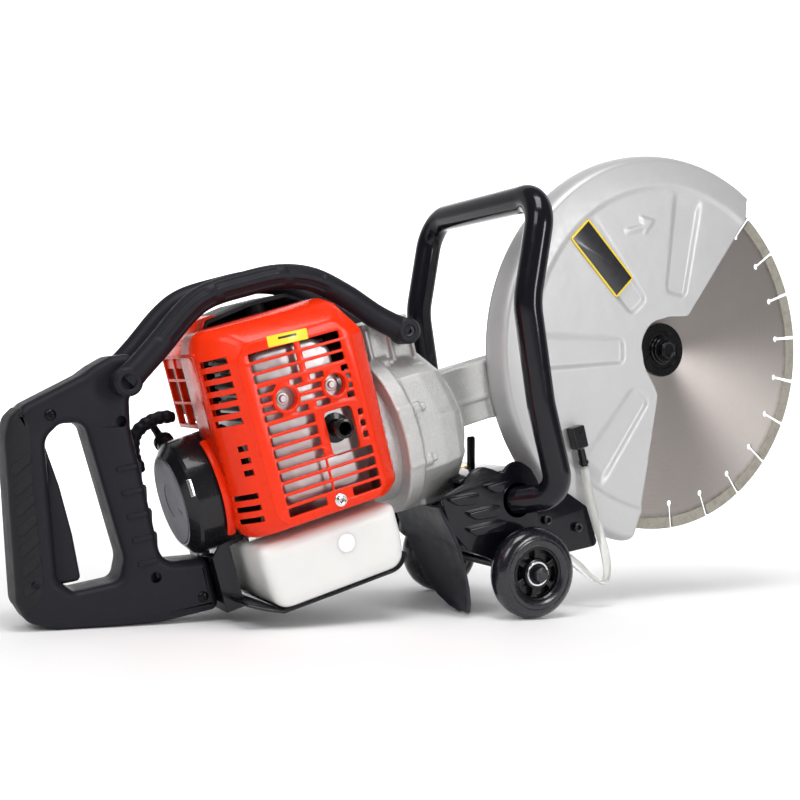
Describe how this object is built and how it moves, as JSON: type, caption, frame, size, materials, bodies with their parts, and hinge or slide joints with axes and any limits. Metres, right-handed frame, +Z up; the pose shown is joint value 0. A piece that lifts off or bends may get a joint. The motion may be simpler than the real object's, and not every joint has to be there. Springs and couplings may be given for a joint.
{
  "type": "concrete cut-off saw",
  "caption": "Hand-held petrol cut-off saw: two-stroke engine, bevel-geared arm, guarded diamond blade with water feed, loop and rear handles, guide wheels.",
  "frame": {"origin": "centre of the footprint on the floor the saw rests on", "axes": "+X forward towards the blade, +Y to the far side of the blade guard, +Z up; the saw stands nose-up on its two wheels and handle foot"},
  "size_m": [0.7892, 0.2304, 0.4341],
  "materials": {
    "blade_steel": "satin, radial brushing",
    "diamond_segment": "matt sintered",
    "black_steel": "satin black",
    "steel": "machined",
    "cast_alloy": "sand cast",
    "bright_steel": "bright",
    "black_plastic": "fine texture",
    "clear_plastic": "clear",
    "filter_foam": "open foam",
    "red_plastic": "gloss",
    "soft_grip": "matt",
    "black_gloss_steel": "gloss",
    "tank_plastic": "milky translucent",
    "wheel_urethane": "gloss",
    "black_gloss_plastic": "gloss",
    "silver_paint": "satin metallic",
    "brass": "machined",
    "clear_hose": "clear"
  },
  "bodies": {
    "chassis": {"connecting_rod": "steel", "piston": "cast_alloy", "ball_bearings": "bright_steel", "transmission_arm": "cast_alloy", "gearcase_cover": "cast_alloy", "clutch_housing": "cast_alloy", "crankcase": "cast_alloy", "cylinder": "cast_alloy", "spark_plug": "steel", "ignition_coil": "black_plastic", "muffler": "bright_steel", "carburettor": "cast_alloy", "air_filter_base": "black_plastic", "air_filter_element": "filter_foam", "air_filter_cover": "black_plastic", "starter_housing": "black_plastic", "rewind_spring": "steel", "engine_cover": "red_plastic", "top_shroud": "black_plastic", "rear_handle_near_half": "black_plastic", "rear_handle_far_half": "black_plastic", "grip_overlay": "soft_grip", "handle_bracket": "black_steel", "top_bars": "black_plastic", "loop_handle": "black_gloss_steel", "fuel_tank": "tank_plastic", "tank_skid": "black_plastic", "wheel_axle": "bright_steel", "wheel_bracket": "black_gloss_steel", "splash_flap": "soft_grip", "guard_shell": "silver_paint", "guard_back_plate": "silver_paint", "water_elbow": "brass", "water_hose": "clear_hose", "water_tap": "brass", "case_bolts": "bright_steel", "handle_screws": "black_steel"},
    "blade": {"blade_core": "blade_steel", "blade_segments": "diamond_segment", "blade_flanges": "black_steel", "blade_bolt": "black_steel", "spindle": "steel", "spindle_gear": "steel"},
    "drive_line": {"pinion_shaft": "steel", "clutch_drum": "steel"},
    "crank": {"crankshaft": "steel", "flywheel_fan": "cast_alloy", "clutch_shoes": "steel"},
    "near_wheel": {"near_tyre": "wheel_urethane", "near_hub": "black_gloss_plastic"},
    "far_wheel": {"far_tyre": "wheel_urethane", "far_hub": "black_gloss_plastic"},
    "trigger": {"throttle_trigger": "black_plastic"},
    "starter_grip": {"pull_handle": "black_plastic"},
    "starter_reel": {"starter_pulley": "black_plastic"},
    "choke": {"choke_lever": "black_plastic"},
    "primer": {"primer_bulb": "clear_plastic"},
    "switch": {"stop_switch": "black_plastic"},
    "tank_cap": {"fuel_cap": "black_plastic"},
    "tap": {"tap_lever": "black_steel"}
  },
  "joints": [
    {"name": "blade_spin", "type": "hinge", "parent": "chassis", "child": "blade", "pos_m": [0.21957, -0.03275, 0.24408], "axis": [0, 1, 0], "continuous": true},
    {"name": "drive_line_spin", "type": "hinge", "parent": "chassis", "child": "drive_line", "pos_m": [0.18706, -0.00275, 0.23414], "axis": [0.9563, 0, 0.2924], "continuous": true},
    {"name": "crank_spin", "type": "hinge", "parent": "chassis", "child": "crank", "pos_m": [-0.1486, -0.00275, 0.13151], "axis": [0.9563, 0, 0.2924], "continuous": true, "deforming": ["connecting_rod", "piston"]},
    {"name": "near_wheel_spin", "type": "hinge", "parent": "chassis", "child": "near_wheel", "pos_m": [0.04459, -0.08675, 0.04], "axis": [0, 1, 0], "continuous": true},
    {"name": "far_wheel_spin", "type": "hinge", "parent": "chassis", "child": "far_wheel", "pos_m": [0.04459, 0.08125, 0.04], "axis": [0, 1, 0], "continuous": true},
    {"name": "trigger_squeeze", "type": "hinge", "parent": "chassis", "child": "trigger", "pos_m": [-0.36665, -0.00275, 0.14014], "axis": [0, 1, 0], "range_deg": [0, 9]},
    {"name": "starter_pull", "type": "slide", "parent": "chassis", "child": "starter_grip", "axis": [-0.1462, 0.866, 0.4782], "range_m": [0, 0.6]},
    {"name": "starter_reel_spin", "type": "hinge", "parent": "chassis", "child": "starter_reel", "pos_m": [-0.24423, -0.00275, 0.10228], "axis": [0.9563, 0, 0.2924], "range_deg": [-1230, 0]},
    {"name": "choke_turn", "type": "hinge", "parent": "chassis", "child": "choke", "pos_m": [-0.19417, 0.07525, 0.18137], "axis": [0.9563, 0, 0.2924], "range_deg": [-50, 0]},
    {"name": "primer_press", "type": "slide", "parent": "chassis", "child": "primer", "axis": [-0.2924, 0, 0.9563], "range_m": [0, 0.004]},
    {"name": "switch_rock", "type": "hinge", "parent": "chassis", "child": "switch", "pos_m": [-0.33459, 0.02125, 0.18236], "axis": [0, 1, 0], "range_deg": [0, 30]},
    {"name": "tank_cap_lift", "type": "slide", "parent": "chassis", "child": "tank_cap", "axis": [-0.2924, 0, 0.9563], "range_m": [0, 0.05]},
    {"name": "tap_turn", "type": "hinge", "parent": "chassis", "child": "tap", "pos_m": [0.01525, -0.02275, 0.11887], "axis": [0, 1, 0], "range_deg": [0, 90]}
  ],
  "couplings": [
    {"joint": "drive_line_spin", "follows": "blade_spin", "ratio": 1.5833},
    {"joint": "starter_reel_spin", "follows": "starter_pull", "rad_per_m": -35.714}
  ]
}
